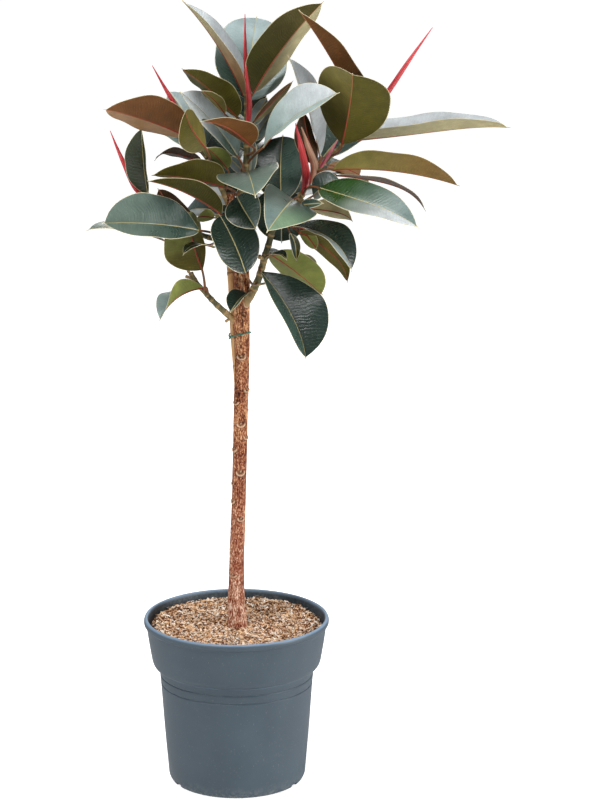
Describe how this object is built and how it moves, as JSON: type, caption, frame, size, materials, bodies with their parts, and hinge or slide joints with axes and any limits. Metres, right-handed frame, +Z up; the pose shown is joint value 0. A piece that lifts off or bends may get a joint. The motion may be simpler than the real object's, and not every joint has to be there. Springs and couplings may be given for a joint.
{
  "type": "potted rubber plant",
  "caption": "Rubber plant trained as a small standard tree, tied to a cane, in a filled round nursery pot.",
  "frame": {"origin": "centre of the pot's flat base, on the ground", "axes": "+Z up along the pot's axis; -Y towards the side that the picture shows; +X to that side's right"},
  "size_m": [0.6406, 0.4169, 1.2356],
  "materials": {
    "pot": "satin slate-blue plastic",
    "soil": "loose coir and peat, tan, dry on top",
    "bark": "smooth brown bark",
    "cane": "bamboo",
    "tie": "coated garden wire",
    "foliage": "leathery dark green, glossy above, brown-olive below",
    "sheath": "waxy red",
    "young_leaf": "waxy, not yet open"
  },
  "bodies": {
    "root": {"pot": "pot", "soil": "soil", "trunk": "bark", "support_cane": "cane", "tie_wire": "tie", "leader_shoot": "foliage", "left_shoot": "foliage", "far_left_shoot": "foliage", "low_left_branch": "foliage", "right_branch": "foliage", "upper_right_shoot": "foliage", "back_shoot": "foliage", "sheath_top": "sheath", "sheath_centre": "sheath", "sheath_left": "sheath", "sheath_far_left": "sheath", "sheath_far_right": "sheath", "sheath_right": "sheath", "sheath_small": "sheath", "new_leaf": "young_leaf"}
  },
  "joints": []
}
